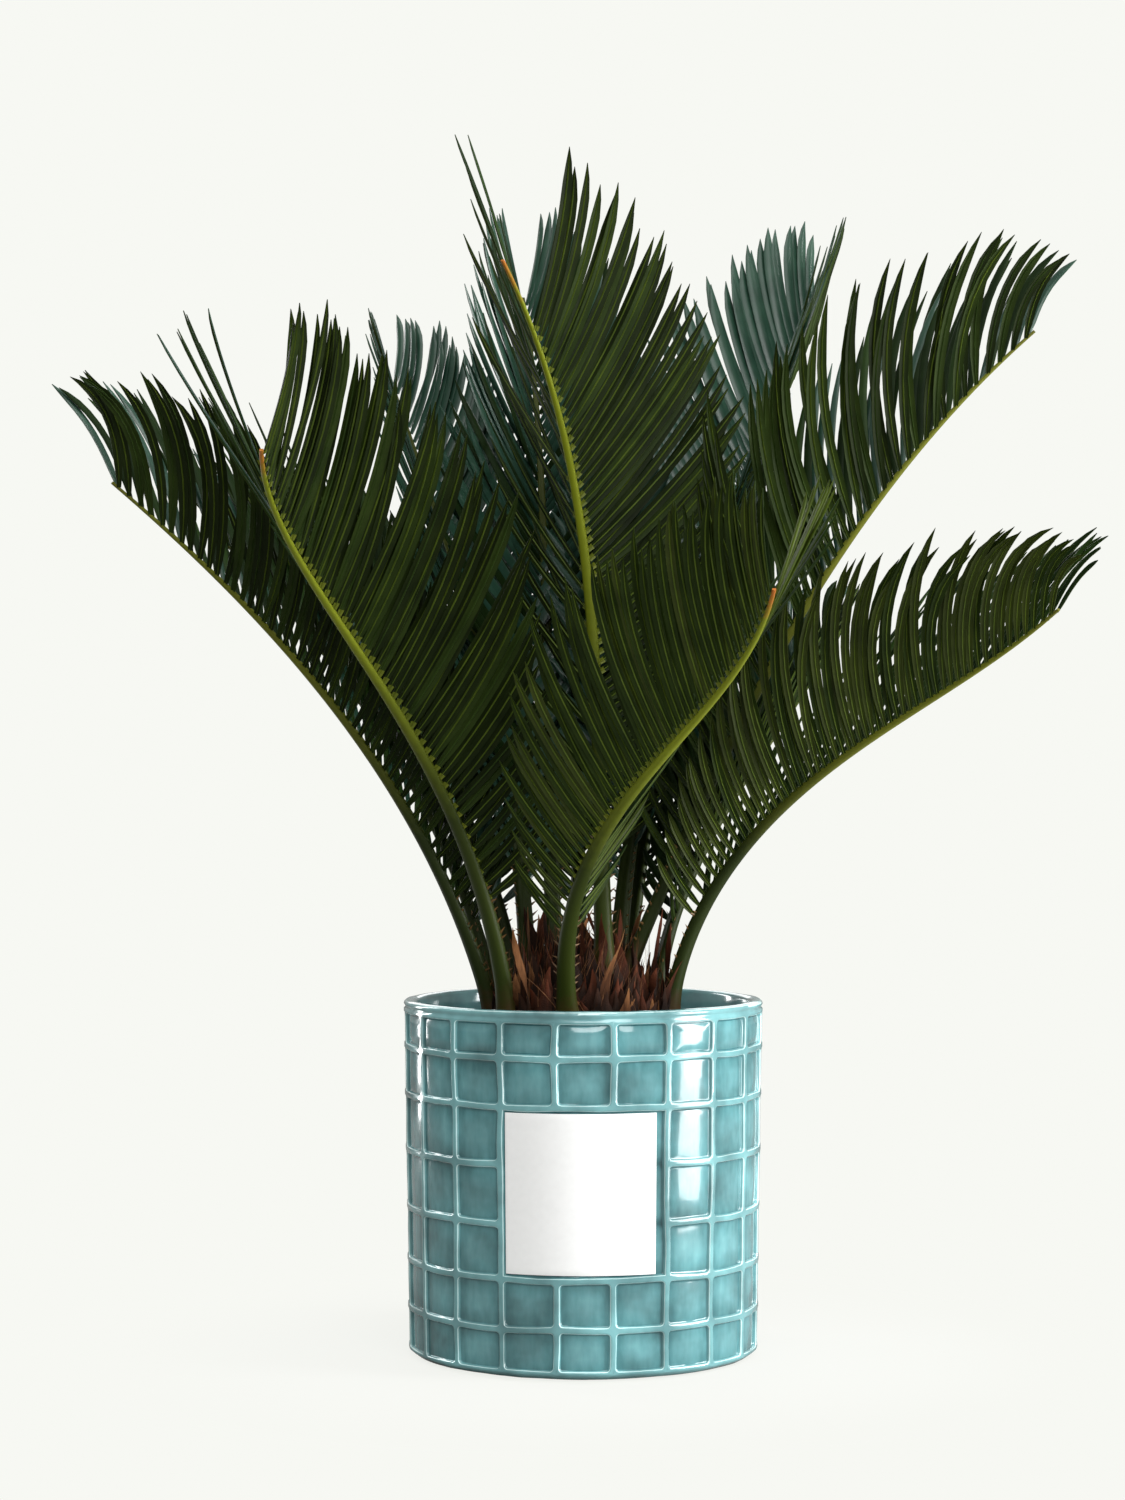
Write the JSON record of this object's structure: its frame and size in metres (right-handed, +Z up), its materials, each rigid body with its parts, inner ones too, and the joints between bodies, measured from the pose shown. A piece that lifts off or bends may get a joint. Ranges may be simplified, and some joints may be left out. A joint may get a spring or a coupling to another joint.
{
  "type": "potted sago palm",
  "caption": "Potted sago palm: a low scaly trunk in soil carries arching pinnate fronds above a round glazed ceramic pot with a raised grid and a blank card.",
  "frame": {"origin": "centre of the pot's flat underside", "axes": "+Z up along the pot's axis, -Y out of the pot's front with the card, +X to the right of that view"},
  "size_m": [0.5073, 0.6053, 0.6268],
  "materials": {
    "glaze": "glossy blue-green glaze, paler and whiter on the raised ribs",
    "card": "matt white",
    "soil": "matt, crumbly, dark brown",
    "trunk": "rough reddish brown scales",
    "frond": "leathery dark green with a yellow-green rib"
  },
  "bodies": {
    "root": {"pot": "glaze", "card": "card", "soil": "soil", "trunk": "trunk", "frond_left_low": "frond", "frond_left_front": "frond", "frond_tall_front": "frond", "frond_right_front": "frond", "frond_right_high": "frond", "frond_right_low": "frond", "frond_back_right": "frond", "frond_right_inner": "frond", "frond_back_tall": "frond", "frond_back_left": "frond", "frond_back_low": "frond", "frond_back_mid": "frond", "frond_back_wide": "frond", "frond_left_back": "frond"}
  },
  "joints": []
}
